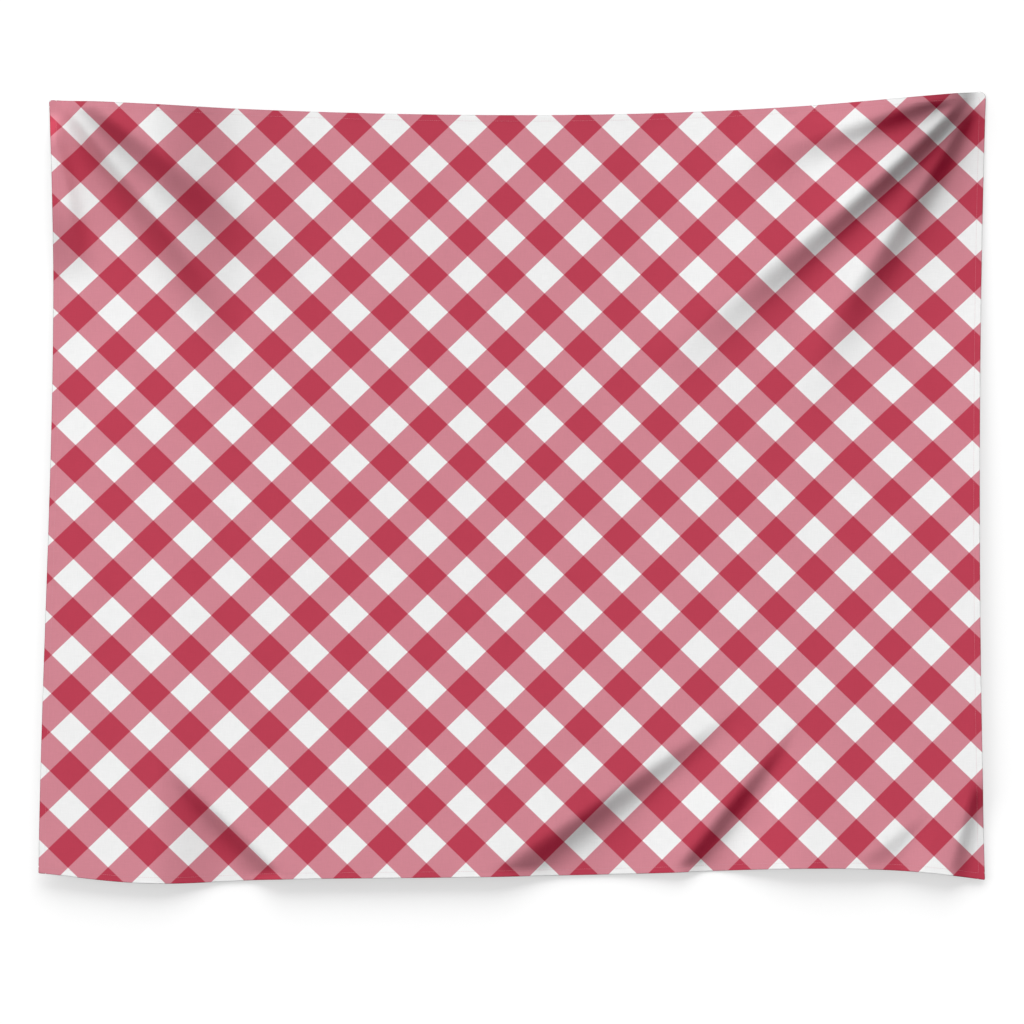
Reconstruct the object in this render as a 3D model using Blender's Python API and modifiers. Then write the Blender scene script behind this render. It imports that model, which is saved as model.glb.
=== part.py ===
"""A printed gingham cloth with a narrow hem, hanging from its two top corners.

The cloth hangs in the XZ plane with its printed face towards -Y and the wall at y = 0. The origin
is halfway between the two held corners, on the wall side. Everything but the two held corners
swings out from the wall about the line through them.

Places on the cloth are given as (across, down): metres from the top left corner, measured on the
cloth. hung() carries such a place to where it hangs.
"""

import math
from collections import namedtuple

import bmesh
import bpy
from mathutils import Vector

# The cloth, lying flat.
CLOTH_WIDTH = 1.524
CLOTH_HEIGHT = 1.270
PLY = 0.0004
HEM_WIDTH = 0.012
HEM_PLIES = 3
CORNER_PLIES = 9
GAP = 0.0003

# How its outline hangs.
RIGHT_CORNER_RISE = 0.0146
LEFT_SIDE_SHORTER = 0.013
RIGHT_SIDE_LONGER = 0.013
BOTTOM_LEFT_OUT = 0.016
BOTTOM_RIGHT_IN = 0.002
TOP_SAG = 0.033
TOP_SAG_SKEW = 0.22
TOP_RIGHT_ROUNDING = 0.0115
LEFT_BOW = 0.012
LEFT_BOW_PEAK = 6.75
RIGHT_BOW = 0.010
BOTTOM_WAVE = 0.005
BOTTOM_LEFT_DROP = 0.012
BOTTOM_RIGHT_LIFT = 0.013
BOTTOM_LEFT_DROP_AT = (0.12, 0.075)
BOTTOM_RIGHT_LIFT_AT = (0.86, 0.12)
BOTTOM_CORNER_SHARE = 0.04
STAND_OFF = 0.024
REACH_ACROSS = 0.22
REACH_DOWN = 0.50
HELD_REACH = 0.045
RAISED_START = 0.3
SUNK_START = 0.6

# Stitching.
THREAD_RADIUS = 0.0002
STITCH_INSET = 0.010

# The blank care label, on the back beside the left hem.
LABEL_WIDTH = 0.030
LABEL_LENGTH = 0.055
LABEL_DOWN = 0.760
LABEL_THICKNESS = 0.0003
LABEL_STITCH_INSET = 0.004

# How finely the pieces are divided: close rows where the folds are, wide ones between.
COLUMNS = 66
TOP_ROWS = 20
TOP_ROWS_DEPTH = 0.44
MIDDLE_ROWS = 6
BOTTOM_ROWS = 16
BOTTOM_ROWS_DEPTH = 0.31

# A fold's crest runs from start to end, both (across, down) from the named corner, bowed downwards.
# The cloth above a crest stands out from the cloth below it by the height, or, for a negative
# height, the cloth below is sunk by as much. It falls away over the lower width, and over the upper
# one too if it has one; both widths grow along the crest. It rises over the first share of its
# length and fades from the second; one that runs off the edge has no fade.
Fold = namedtuple("Fold", "corner start end bow height lower upper rise fade")

TOP_LEFT = (0.0, 0.0)
TOP_RIGHT = (CLOTH_WIDTH, 0.0)
BOTTOM_LEFT = (0.0, CLOTH_HEIGHT)
BOTTOM_RIGHT = (CLOTH_WIDTH, CLOTH_HEIGHT)

FOLDS = (
    Fold(TOP_LEFT, (0.015, -0.005), (0.315, 0.345), 0.000, 0.034, 0.027, None, 0.26, 0.50),
    Fold(TOP_LEFT, (0.030, -0.020), (0.440, 0.240), 0.000, 0.028, 0.046, None, 0.22, 0.25),
    Fold(TOP_LEFT, (0.000, 0.000), (0.046, 0.300), 0.000, 0.016, 0.250, 0.014, 0.20, 0.55),
    Fold(TOP_RIGHT, (-0.005, -0.010), (-0.315, 0.430), 0.008, 0.029, 0.029, None, 0.18, 0.35),
    Fold(TOP_RIGHT, (-0.015, -0.010), (-0.580, 0.420), 0.013, 0.027, 0.032, None, 0.12, 0.25),
    Fold(TOP_RIGHT, (-0.010, -0.014), (-0.450, 0.087), 0.000, 0.017, 0.026, None, 0.20, 0.20),
    Fold(BOTTOM_LEFT, (0.185, -0.215), (0.400, -0.005), 0.000, -0.023, 0.017, None, 0.55, None),
    Fold(BOTTOM_RIGHT, (-0.360, -0.300), (-0.800, -0.010), 0.000, -0.023, 0.029, None, 0.60, None),
    Fold(BOTTOM_RIGHT, (-0.280, -0.270), (-0.505, -0.005), 0.000, -0.022, 0.019, None, 0.65, None),
    Fold(BOTTOM_RIGHT, (0.000, -0.200), (-0.060, -0.010), 0.000, -0.018, 0.0145, None, 0.45, None),
    Fold(BOTTOM_RIGHT, (-0.080, -0.110), (-0.210, -0.010), 0.000, -0.006, 0.018, None, 0.45, None),
)

HEM_THICKNESS = HEM_PLIES * PLY
CORNER_THICKNESS = CORNER_PLIES * PLY
INNER_EDGE = HEM_WIDTH + GAP / 2
OUTER_BAND = (0.0, HEM_WIDTH - GAP / 2)
NEARBY = 0.0005
TIP_ROUNDING = min(TOP_RIGHT_ROUNDING, OUTER_BAND[1] - GAP / 2)
SWING_AXIS_POINT = Vector((0.0, -CORNER_THICKNESS / 2, 0.0))


def clear_scene():
    for obj in list(bpy.data.objects):
        bpy.data.objects.remove(obj, do_unlink=True)


def new_collection(name):
    collection = bpy.data.collections.new(name)
    bpy.context.scene.collection.children.link(collection)
    return collection


def material(name, colour, roughness):
    made = bpy.data.materials.new(name)
    made.use_nodes = True
    shader = made.node_tree.nodes["Principled BSDF"]
    shader.inputs["Base Color"].default_value = (*colour, 1.0)
    shader.inputs["Roughness"].default_value = roughness
    shader.inputs["Metallic"].default_value = 0.0
    made.diffuse_color = (*colour, 1.0)
    return made


def smooth(low, high, value):
    """0 up to low, 1 from high, and an even S curve between."""
    share = min(max((value - low) / (high - low), 0.0), 1.0)
    return share * share * (3.0 - 2.0 * share)


def bell(value, middle, spread):
    return math.exp(-(((value - middle) / spread) ** 2) / 2.0)


def spaced(start, end, count):
    """count + 1 even steps from start to end."""
    return [start + (end - start) * step / count for step in range(count + 1)]


def fold_height(fold, across, down):
    """How far one fold lifts a place on the cloth. Its strength is measured along its crest, or
    along the level if the crest lies flatter than two in one. A raised fold starts as the cone that
    cloth makes where it is held."""
    run = (fold.end[0] - fold.start[0], fold.end[1] - fold.start[1])
    way = (across - fold.corner[0] - fold.start[0], down - fold.corner[1] - fold.start[1])
    length = math.hypot(*run)
    along = (way[0] * run[0] + way[1] * run[1]) / length**2
    within = min(max(along, 0.0), 1.0)
    below = (way[1] * run[0] - way[0] * run[1]) / math.copysign(length, run[0])
    below -= fold.bow * 4.0 * within * (1.0 - within)
    width = fold.lower if below > 0.0 else fold.upper
    raised = fold.height > 0.0
    at_start = RAISED_START if raised else SUNK_START
    widening = at_start + 2.0 * (1.0 - at_start) * within
    fall = 1.0 if width is None else math.exp(-((below / (width * widening)) ** 2))
    share = way[0] / run[0] if abs(run[0]) * 2.0 > abs(run[1]) else along
    if raised:
        strength = math.sin(min(max(share / fold.rise, 0.0), 1.0) * math.pi / 2)
    else:
        strength = smooth(0.0, fold.rise, share)
        fall = 1.0 - fall
    if fold.fade is not None:
        strength *= 1.0 - smooth(fold.fade, 1.0, share)
    return fold.height * strength * fall


def relief(across, down):
    """How far a place stands out from the held corners. The hems are stiff, so across their width
    they keep the relief of their inner edge."""
    across = min(max(across, INNER_EDGE), CLOTH_WIDTH - INNER_EDGE)
    below = min(max(down, INNER_EDGE), CLOTH_HEIGHT - INNER_EDGE) - INNER_EDGE
    stand_off = STAND_OFF
    freedom = 1.0
    for aside in (across - INNER_EDGE, CLOTH_WIDTH - INNER_EDGE - across):
        reach = (aside / REACH_ACROSS) ** 2 + (below / REACH_DOWN) ** 2
        stand_off *= 1.0 - math.exp(-reach)
        freedom *= 1.0 - math.exp(-((math.hypot(aside, below) / HELD_REACH) ** 2))
    lifts = (fold_height(fold, across, below + INNER_EDGE) for fold in FOLDS)
    return stand_off + freedom * sum(lifts)


def top_edge(share):
    sag = TOP_SAG * (1.0 + TOP_SAG_SKEW * (2.0 * share - 1.0)) * 4.0 * share * (1.0 - share)
    x = CLOTH_WIDTH * (share - 0.5)
    z = RIGHT_CORNER_RISE * (share - 0.5) - sag
    return Vector((x, z))


def bottom_edge(share):
    left = Vector((-CLOTH_WIDTH / 2 - BOTTOM_LEFT_OUT, left_bottom_height()))
    right = Vector((CLOTH_WIDTH / 2 - BOTTOM_RIGHT_IN, right_bottom_height()))
    wave = BOTTOM_WAVE * math.sin(2.0 * math.pi * share)
    wave += BOTTOM_LEFT_DROP * bell(share, *BOTTOM_LEFT_DROP_AT)
    wave -= BOTTOM_RIGHT_LIFT * bell(share, *BOTTOM_RIGHT_LIFT_AT)
    for to_corner in (share, 1.0 - share):
        wave *= math.tanh(to_corner / BOTTOM_CORNER_SHARE)
    return left.lerp(right, share) - Vector((0.0, wave))


def left_edge(share):
    bow = LEFT_BOW * LEFT_BOW_PEAK * share * (1.0 - share) ** 2
    return top_edge(0.0).lerp(bottom_edge(0.0), share) + Vector((bow, 0.0))


def right_edge(share):
    bow = RIGHT_BOW * 4.0 * share * (1.0 - share)
    return top_edge(1.0).lerp(bottom_edge(1.0), share) - Vector((bow, 0.0))


def left_bottom_height():
    return -RIGHT_CORNER_RISE / 2 - (CLOTH_HEIGHT - LEFT_SIDE_SHORTER)


def right_bottom_height():
    return RIGHT_CORNER_RISE / 2 - (CLOTH_HEIGHT + RIGHT_SIDE_LONGER)


def rounded_tip(across, down):
    """A place on the cloth after the top right tip has sunk into a rounded one: the square of the
    rounding's size in that corner is drawn in to a quarter of a disc."""
    towards_side = max(1.0 - (CLOTH_WIDTH - across) / TIP_ROUNDING, 0.0)
    towards_top = max(1.0 - down / TIP_ROUNDING, 0.0)
    if towards_side * towards_top == 0.0:
        return across, down
    drawn_in = max(towards_side, towards_top) / math.hypot(towards_side, towards_top)
    across = CLOTH_WIDTH - TIP_ROUNDING * (1.0 - towards_side * drawn_in)
    down = TIP_ROUNDING * (1.0 - towards_top * drawn_in)
    return across, down


def middle(across, down):
    """Where a place on the middle of the cloth hangs. The four hanging edges are blended across
    the sheet, less the blend of its four corners."""
    drawn_across, drawn_down = rounded_tip(across, down)
    s = drawn_across / CLOTH_WIDTH
    t = drawn_down / CLOTH_HEIGHT
    between_ends = top_edge(s).lerp(bottom_edge(s), t)
    between_sides = left_edge(t).lerp(right_edge(t), s)
    between_top_corners = top_edge(0.0).lerp(top_edge(1.0), s)
    between_bottom_corners = bottom_edge(0.0).lerp(bottom_edge(1.0), s)
    place = between_ends + between_sides - between_top_corners.lerp(between_bottom_corners, t)
    return Vector((place.x, SWING_AXIS_POINT.y - relief(across, down), place.y))


def hung(across, down, behind=0.0):
    """Where a place hangs that lies a distance behind the middle of the cloth, square to it."""
    place = middle(across, down)
    if behind == 0.0:
        return place
    way_across = middle(across + NEARBY, down) - middle(across - NEARBY, down)
    way_down = middle(across, down + NEARBY) - middle(across, down - NEARBY)
    return place + way_across.cross(way_down).normalized() * behind


def sheet(name, columns, rows, thickness, finish, home, behind=0.0):
    """A piece of cloth whose grid lines lie at the given columns and rows, with its thickness."""
    mesh = bpy.data.meshes.new(name)
    grid = bmesh.new()
    across_count = len(columns) - 1
    down_count = len(rows) - 1
    bmesh.ops.create_grid(grid, x_segments=across_count, y_segments=down_count, size=0.5)
    origin = home.location if home else Vector()
    for vertex in grid.verts:
        column = columns[round((vertex.co.x + 0.5) * across_count)]
        row = rows[round((0.5 - vertex.co.y) * down_count)]
        vertex.co = hung(column, row, behind) - origin
    grid.to_mesh(mesh)
    grid.free()
    mesh.materials.append(finish)
    mesh.shade_smooth()
    piece = bpy.data.objects.new(name, mesh)
    piece.parent = home
    shell = piece.modifiers.new("Thickness", "SOLIDIFY")
    shell.thickness = thickness
    shell.offset = 0.0
    return piece


def thread(name, places, behind, finish, home):
    """One line of stitching, as a thin round thread through the given places on the cloth."""
    curve = bpy.data.curves.new(name, "CURVE")
    curve.dimensions = "3D"
    curve.bevel_depth = THREAD_RADIUS
    curve.bevel_resolution = 0
    curve.use_fill_caps = True
    curve.materials.append(finish)
    spline = curve.splines.new("POLY")
    spline.points.add(len(places) - 1)
    for point, (across, down) in zip(spline.points, places):
        point.co = (*(hung(across, down, behind) - home.location), 1.0)
    piece = bpy.data.objects.new(name, curve)
    piece.parent = home
    return piece


def grid_columns():
    return spaced(INNER_EDGE, CLOTH_WIDTH - INNER_EDGE, COLUMNS)


def grid_rows():
    low = CLOTH_HEIGHT - BOTTOM_ROWS_DEPTH
    rows = spaced(INNER_EDGE, TOP_ROWS_DEPTH, TOP_ROWS)
    rows += spaced(TOP_ROWS_DEPTH, low, MIDDLE_ROWS)[1:]
    rows += spaced(low, CLOTH_HEIGHT - INNER_EDGE, BOTTOM_ROWS)[1:]
    return rows


def far_band(size):
    """The outer band's place at the right or bottom edge of a cloth of this size."""
    return (size - OUTER_BAND[1], size - OUTER_BAND[0])


def make_cloth(finish, home):
    return [sheet("printed_panel", grid_columns(), grid_rows(), PLY, finish, home)]


def make_hems(finish, home):
    bands = {
        "hem_top": (grid_columns(), OUTER_BAND),
        "hem_bottom": (grid_columns(), far_band(CLOTH_HEIGHT)),
        "hem_left": (OUTER_BAND, grid_rows()),
        "hem_right": (far_band(CLOTH_WIDTH), grid_rows()),
    }
    return [
        sheet(name, columns, rows, HEM_THICKNESS, finish, home)
        for name, (columns, rows) in bands.items()
    ]


def make_corners(finish, home):
    """The four thick corners where two hems cross. The top two are held, so they stay still."""
    corners = {
        "corner_top_left": (OUTER_BAND, OUTER_BAND, None),
        "corner_top_right": (far_band(CLOTH_WIDTH), OUTER_BAND, None),
        "corner_bottom_left": (OUTER_BAND, far_band(CLOTH_HEIGHT), home),
        "corner_bottom_right": (far_band(CLOTH_WIDTH), far_band(CLOTH_HEIGHT), home),
    }
    return [
        sheet(name, columns, rows, CORNER_THICKNESS, finish, parent)
        for name, (columns, rows, parent) in corners.items()
    ]


def make_stitching(finish, home):
    """Each hem's two threads: the needle thread on the face and the bobbin thread on the back."""
    lines = {
        "top": [(column, STITCH_INSET) for column in grid_columns()],
        "bottom": [(column, CLOTH_HEIGHT - STITCH_INSET) for column in grid_columns()],
        "left": [(STITCH_INSET, row) for row in grid_rows()],
        "right": [(CLOTH_WIDTH - STITCH_INSET, row) for row in grid_rows()],
    }
    clear = HEM_THICKNESS / 2 + GAP + THREAD_RADIUS
    pieces = []
    for side, places in lines.items():
        pieces.append(thread(f"needle_thread_{side}", places, -clear, finish, home))
        pieces.append(thread(f"bobbin_thread_{side}", places, clear, finish, home))
    return pieces


def make_label(cloth_finish, thread_finish, home):
    """A blank care label behind the cloth, beside the left hem, and the stitching across it."""
    columns = spaced(INNER_EDGE, INNER_EDGE + LABEL_LENGTH, 2)
    rows = (LABEL_DOWN - LABEL_WIDTH / 2, LABEL_DOWN + LABEL_WIDTH / 2)
    behind = PLY / 2 + GAP + LABEL_THICKNESS / 2
    label = sheet("care_label", columns, rows, LABEL_THICKNESS, cloth_finish, home, behind)
    stitch_column = INNER_EDGE + LABEL_STITCH_INSET
    places = [(stitch_column, row) for row in rows]
    stitch_behind = behind + LABEL_THICKNESS / 2 + GAP + THREAD_RADIUS
    stitches = thread("label_thread", places, stitch_behind, thread_finish, home)
    return [label, stitches]


def main():
    clear_scene()
    collection = new_collection("gingham_cloth")
    swing = bpy.data.objects.new("swing_line", None)
    swing.location = SWING_AXIS_POINT
    printed = material("printed_cloth", (0.64, 0.35, 0.38), 0.85)
    turned = material("turned_hem", (0.62, 0.32, 0.35), 0.85)
    sewing = material("sewing_thread", (0.80, 0.78, 0.76), 0.60)
    satin = material("label_satin", (0.85, 0.85, 0.84), 0.45)
    pieces = make_cloth(printed, swing)
    pieces += make_hems(turned, swing)
    pieces += make_corners(turned, swing)
    pieces += make_stitching(sewing, swing)
    pieces += make_label(satin, sewing, swing)
    for piece in [swing, *pieces]:
        collection.objects.link(piece)


main()
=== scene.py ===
"""The looks of the hung gingham cloth, laid out as a Blender add-on and run as a script.

The cloth hangs in the XZ plane with its printed face towards -Y and the wall at y = 0. Places on it
are given as across and down: metres from its top left corner, measured on the cloth. Every piece
is a grid of such places, carried to where they hang by hung(), a set distance in front of or
behind the middle of the cloth.
"""

import math
from collections import namedtuple

import bpy
import numpy as np
from bpy.props import FloatProperty, FloatVectorProperty, PointerProperty
from bpy.types import Operator, Panel, PropertyGroup
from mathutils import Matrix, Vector


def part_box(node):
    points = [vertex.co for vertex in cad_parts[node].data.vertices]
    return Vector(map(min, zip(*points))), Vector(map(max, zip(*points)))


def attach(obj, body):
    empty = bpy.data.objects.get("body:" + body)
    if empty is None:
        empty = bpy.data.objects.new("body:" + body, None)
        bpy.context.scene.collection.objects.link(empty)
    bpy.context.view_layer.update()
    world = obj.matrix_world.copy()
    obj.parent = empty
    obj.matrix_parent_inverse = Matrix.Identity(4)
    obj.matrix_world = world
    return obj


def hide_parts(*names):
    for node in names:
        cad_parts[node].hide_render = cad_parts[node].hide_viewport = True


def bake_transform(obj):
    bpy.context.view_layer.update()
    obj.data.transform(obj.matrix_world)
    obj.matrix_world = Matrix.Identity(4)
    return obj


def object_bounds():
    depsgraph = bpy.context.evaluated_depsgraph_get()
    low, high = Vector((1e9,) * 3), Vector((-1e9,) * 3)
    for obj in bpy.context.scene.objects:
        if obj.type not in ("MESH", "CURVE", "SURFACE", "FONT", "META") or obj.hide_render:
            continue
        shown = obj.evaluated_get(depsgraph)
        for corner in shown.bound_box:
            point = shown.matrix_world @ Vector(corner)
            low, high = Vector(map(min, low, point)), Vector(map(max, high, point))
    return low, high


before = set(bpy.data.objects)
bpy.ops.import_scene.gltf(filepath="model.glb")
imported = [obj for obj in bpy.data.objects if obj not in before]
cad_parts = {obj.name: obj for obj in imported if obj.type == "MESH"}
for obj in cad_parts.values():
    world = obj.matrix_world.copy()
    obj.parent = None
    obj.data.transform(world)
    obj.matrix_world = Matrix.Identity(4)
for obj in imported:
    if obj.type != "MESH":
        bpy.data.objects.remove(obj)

bl_info = {
    "name": "Hung gingham cloth",
    "version": (1, 0, 0),
    "blender": (4, 5, 0),
    "location": "3D View > Sidebar > Gingham",
    "description": "Builds a hemmed gingham cloth hanging from its two top corners",
    "category": "Object",
}

CAD_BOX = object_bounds()
HELD_CORNER_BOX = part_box("corner_top_left")
MIDDLE_Y = (HELD_CORNER_BOX[0][1] + HELD_CORNER_BOX[1][1]) / 2

HELD_BODY = "held_corners"
HANGING_BODY = "hanging_cloth"

PRINT_MAP = "print"
EDGE_MAP = "edge"
SHARP_FROM = math.radians(65.0)

# Shares of the bottom edge: where its drop and lift lie, their spread, and the reach of its ends.
DROP_AT = 0.12
DROP_SPREAD = 0.075
LIFT_AT = 0.86
LIFT_SPREAD = 0.12
BOTTOM_FADE = 0.04

# How the print is drawn towards the right edge: by how many checks, how far down, and its reaches.
Pull = namedtuple("Pull", "checks down reach_across reach_down")
PULLS = (Pull(0.41, 0.12, 0.24, 0.24), Pull(0.17, 0.50, 0.16, 0.20))

# Checks to a metre: the factors of x, the fall below the corners, x squared, x times fall, and
# fall squared.
COLUMN_FACTORS = (16.10, 0.021, 0.215, -0.356, -0.005)
ROW_FACTORS = (-0.031, 16.77, 0.011, 0.197, -0.332)

# The hems: their length step, the points round their section, and their unevenness.
HEM_STEP = 0.0035
EDGE_POINTS = 9
BACK_POINTS = 8
TURN_POINTS = 6
HEM_PUFF = 0.5
RIPPLE_STRETCHES = (1.0, 1.73, 3.1)
BACK_RIPPLE_PITCH = 0.021
BACK_RIPPLE = 0.25
TURN_RIPPLE_PITCH = 0.034
TURN_RIPPLE = 0.0004
TURN_FROM = 0.6

# The corners' two slabs: the first from and to, in plies, and the last one's middle and half sizes
# as shares of the hem's width. The last is sunk into the first by twice the overlap.
FIRST_SLAB = (-0.375, 2.6)
LAST_SLAB_MIDDLE = (0.49, 0.5)
LAST_SLAB_HALF = (0.47, 0.485)
SLAB_OVERLAP = 0.0001
SLAB_SQUARENESS = 0.3
SLAB_ROWS = 14
SLAB_COLUMNS = 40
SLAB_POLE = 0.02

# A stitch: where its rings lie, from -1 to 1, and in thread radii how high it lies, how far its
# ends dive and how much of its section they lose.
STITCH_RINGS = (-1.0, -0.86, -0.45, 0.45, 0.86, 1.0)
STITCH_SIDES = 6
STITCH_LIFT = 0.75
STITCH_DIVE = 2.1
STITCH_TAPER = 0.75
BOBBIN_SHIFT = 0.05

LABEL_LAYER = 0.00018
LABEL_CLEAR = 0.0001
LABEL_STITCH_INSET = 0.004

THREAD_LENGTH = 0.020
THREAD_WIDTH = 0.0012
BLOT_SIZE = 0.060
TWIST_PITCH = 0.00035
RIB_PITCH = 0.0006

WALL_GAP = 0.0008
WALL_HALF_WIDTH = 4.0
WALL_TOP = 1.9
FLOOR_HALF_DEPTH = 7.0
LAMP_DISTANCE = 4.0

# A fold's crest runs from start to end, both (across, down) in metres from the named corner of the
# cloth, bowed downwards. The cloth above a crest stands out from the cloth below it by the height,
# or, for a negative height, the cloth below is sunk by as much. It falls away over the lower
# width, and over the upper one too if it has one; both widths grow along the crest. It rises over
# the first share of its length and fades from the second; one that runs off the edge has no fade.
Fold = namedtuple("Fold", "corner start end bow height lower upper rise fade")

TOP_LEFT = (0.0, 0.0)
TOP_RIGHT = (1.0, 0.0)
BOTTOM_LEFT = (0.0, 1.0)
BOTTOM_RIGHT = (1.0, 1.0)

FOLDS = (
    Fold(TOP_LEFT, (0.015, -0.005), (0.315, 0.345), 0.000, 0.034, 0.027, None, 0.26, 0.50),
    Fold(TOP_LEFT, (0.030, -0.020), (0.440, 0.240), 0.000, 0.028, 0.046, None, 0.22, 0.25),
    Fold(TOP_LEFT, (0.000, 0.000), (0.046, 0.300), 0.000, 0.016, 0.250, 0.014, 0.20, 0.55),
    Fold(TOP_RIGHT, (-0.005, -0.010), (-0.315, 0.430), 0.008, 0.029, 0.029, None, 0.18, 0.35),
    Fold(TOP_RIGHT, (-0.015, -0.010), (-0.580, 0.420), 0.013, 0.027, 0.032, None, 0.12, 0.25),
    Fold(TOP_RIGHT, (-0.010, -0.014), (-0.450, 0.087), 0.000, 0.017, 0.026, None, 0.20, 0.20),
    Fold(BOTTOM_LEFT, (0.185, -0.215), (0.400, -0.005), 0.000, -0.023, 0.017, None, 0.55, None),
    Fold(BOTTOM_RIGHT, (-0.360, -0.300), (-0.800, -0.010), 0.000, -0.023, 0.029, None, 0.60, None),
    Fold(BOTTOM_RIGHT, (-0.280, -0.270), (-0.505, -0.005), 0.000, -0.022, 0.019, None, 0.65, None),
    Fold(BOTTOM_RIGHT, (0.000, -0.200), (-0.060, -0.010), 0.000, -0.018, 0.0145, None, 0.45, None),
    Fold(BOTTOM_RIGHT, (-0.080, -0.110), (-0.210, -0.010), 0.000, -0.006, 0.018, None, 0.45, None),
)


def linear(red, green, blue):
    """A screen colour of 0 to 255 as the linear light that a shader works in."""
    shares = [channel / 255 for channel in (red, green, blue)]
    return tuple(c / 12.92 if c <= 0.04045 else ((c + 0.055) / 1.055) ** 2.4 for c in shares)


def setting(kind, **options):
    """A maker of settings of one kind, from a description and a default. They are labelled by
    their own names in the panel."""
    def make(description, default):
        return kind(description=description, default=default, **options)
    return make


number = setting(FloatProperty)
size = setting(FloatProperty, unit="LENGTH")
angle = setting(FloatProperty, subtype="ANGLE")
direction = setting(FloatVectorProperty)
colour = setting(FloatVectorProperty, subtype="COLOR")


class ClothShape(PropertyGroup):
    width: size("Hemmed width, lying flat", 1.524)
    height: size("Hemmed height, lying flat", 1.270)
    ply: size("Thickness of one layer of cloth", 0.0004)
    hem_width: size("Width of the turned hem", 0.012)
    hem_plies: number("Layers in a hem", 3.0)
    lip: size("How far the hem's own print reaches in from the edge", 0.0012)
    step: size("Distance between the grid lines of the cloth", 0.0066)
    right_rise: size("How much higher the right corner is held", 0.0146)
    left_shorter: size("How much less the left side hangs down", 0.013)
    right_longer: size("How much more the right side hangs down", 0.013)
    left_out: size("How far the bottom left corner stands out", 0.016)
    right_in: size("How far the bottom right corner is drawn in", 0.002)
    sag: size("How far the top edge sags between its corners", 0.033)
    sag_skew: number("How much deeper the right half sags", 0.22)
    rounding: size("How far the top right tip is rounded", 0.0115)
    left_bow: size("How far the left edge bows in", 0.012)
    right_bow: size("How far the right edge bows in", 0.010)
    wave: size("Height of the bottom edge's long wave", 0.005)
    left_drop: size("Drop of the bottom edge near its left end", 0.012)
    right_lift: size("Lift of the bottom edge near its right end", 0.013)
    stand_off: size("How far the cloth stands from the held corners' plane", 0.024)
    reach_across: size("How soon it reaches that stand-off, across", 0.22)
    reach_down: size("How soon it reaches that stand-off, down a side", 0.50)
    held_reach: size("How far a held corner flattens the folds", 0.018)
    raised_start: number("Width of a raised fold at its start, of its own", 0.3)
    sunk_start: number("Width of a sunk fold at its start, of its own", 0.6)


class ClothPrint(PropertyGroup):
    pitch_across: size("From a white check to the next red one, across", 0.0624)
    pitch_down: size("From a white check to the next red one, down", 0.0613)
    first_across: number("Columns of the print left of the middle", 11.292)
    first_down: number("Rows of the print above the corners", -0.876)
    white: colour("The unprinted checks", linear(240, 240, 240))
    pink: colour("The checks crossed by one stripe", linear(208, 136, 148))
    red: colour("The checks crossed by two stripes", linear(186, 70, 88))
    reverse: colour("The unprinted back", linear(238, 236, 235))
    ghost: number("How much of the print shows through on the back", 0.10)
    bleed: size("Width over which a printed edge softens", 0.0009)
    # The next two settings paint shade: a thin dark line along the folded edge, its width and how
    # much darker it is.
    rim: size("Width of the dull line along the folded edge", 0.0014)
    dulling: number("How much darker that line is", 0.45)
    weave: size("Distance between neighbouring threads", 0.0009)


class ClothSewing(PropertyGroup):
    inset: size("Distance of the stitches from the edge", 0.010)
    pitch: size("From one stitch to the next", 0.003)
    length: size("Visible length of a stitch", 0.0025)
    radius: size("Radius of the sewing thread", 0.000125)
    thread: colour("Colour of the sewing thread", linear(210, 152, 162))
    label_width: size("Width of the care label", 0.030)
    label_length: size("How far the care label stands out of the hem", 0.055)
    label_down: size("How far down the left hem the label is", 0.760)
    label: colour("Colour of the satin label", linear(240, 240, 238))


class ClothStage(PropertyGroup):
    wall: colour("Colour of the wall", (0.50, 0.50, 0.50))
    floor: colour("Colour of the floor", (0.86, 0.86, 0.86))
    glow: number("The wall's own light", 0.54)
    floor_height: size("Height of the floor", -1.75)
    key: number("Strength of the upper sun lamp", 3.9)
    key_way: direction("Where the key light stands", (0.00, -0.45, 0.89))
    side: number("Strength of the left sun lamp", 1.6)
    side_way: direction("Where the side light stands", (-0.80, -0.50, 0.30))
    softness: angle("Width of both lamps as seen from the cloth", 1.0)
    fill: number("Strength of the light all round", 0.185)
    view_width: size("Width of what the camera sees at the cloth", 1.6655)
    view_across: size("Middle of the view, from the cloth's own middle", -0.00895)
    view_height: size("Height of the middle of the view", -0.6775)
    view_distance: size("From the camera to the wall", 16.0)
    haze: number("Light taken off as black", 0.02)


# ---- the hung surface ----


def smooth(low, high, value):
    """0 up to low, 1 from high, and an even S curve between: three times the square of the share
    less twice its cube."""
    part = np.clip((value - low) / (high - low), 0.0, 1.0)
    return part * part * (3.0 - 2.0 * part)


def bell(value, middle, spread):
    """The bell curve: e to minus half the square of the distance in spreads."""
    return np.exp(-(((value - middle) / spread) ** 2) / 2.0)


def arch(part):
    """A parabola that is 0 at both ends and 1 in the middle."""
    return 4.0 * part * (1.0 - part)


def high_arch(part):
    """A cubic that is 0 at both ends and 1 a third of the way along."""
    return 6.75 * part * (1.0 - part) ** 2


def between(start, end, part):
    """The points a share of the way from start to end, for arrays of shares."""
    return start + (end - start) * np.asarray(part)[..., None]


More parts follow.
